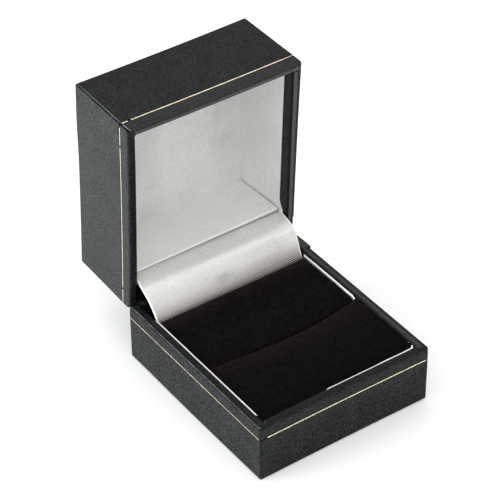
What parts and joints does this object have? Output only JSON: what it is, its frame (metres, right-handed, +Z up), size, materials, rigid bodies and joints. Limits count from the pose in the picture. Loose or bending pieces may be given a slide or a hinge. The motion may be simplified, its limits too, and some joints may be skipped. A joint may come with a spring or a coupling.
{
  "type": "ring display box",
  "caption": "Hinged leatherette ring box with a gilt line, satin-lined lid that snaps open and velvet pads that hold a ring upright in a slot.",
  "frame": {"origin": "centre of the underside of the base, on the surface the box stands on", "axes": "+Z up; +Y from the front of the box to its hinge; X across the box, along the hinge"},
  "size_m": [0.05, 0.0777, 0.0716],
  "materials": {
    "shell_plastic": "matt black moulding",
    "leatherette": "fine-grained charcoal leatherette, satin sheen",
    "sole_paper": "black uncoated paper",
    "gilt_foil": "pale gold hot-stamped foil",
    "lining_satin": "white twill-backed satin on card",
    "flap_satin": "ivory satin",
    "card": "grey board",
    "foam": "open-cell foam",
    "velvet": "black short-pile velvet",
    "bracket_steel": "blackened pressed steel",
    "rivet_metal": "zinc-plated",
    "spring_steel": "blued spring steel"
  },
  "bodies": {
    "base": {"base_shell": "shell_plastic", "base_cover": "leatherette", "base_sole": "sole_paper", "base_foil_line": "gilt_foil", "base_lining": "lining_satin", "pad_board": "card", "pad_foam_front": "foam", "pad_foam_rear": "foam", "pad_velvet_front": "velvet", "pad_velvet_rear": "velvet", "base_hinge_bracket": "bracket_steel", "base_bracket_rivets": "rivet_metal", "hinge_pins": "rivet_metal", "hinge_spring": "spring_steel", "satin_flap": "flap_satin"},
    "lid": {"lid_shell": "shell_plastic", "lid_cover": "leatherette", "lid_foil_line": "gilt_foil", "lid_top_board": "card", "lid_top_foam": "foam", "lid_top_satin": "lining_satin", "lid_side_lining": "lining_satin", "lid_rear_lining": "lining_satin", "lid_hinge_bracket": "bracket_steel", "lid_bracket_rivets": "rivet_metal"}
  },
  "joints": [
    {"name": "lid_hinge", "type": "hinge", "parent": "base", "child": "lid", "pos_m": [0, 0.02646, 0.01639], "axis": [1, 0, 0], "range_deg": [0, 87.6], "deforming": ["hinge_spring", "satin_flap"]}
  ]
}
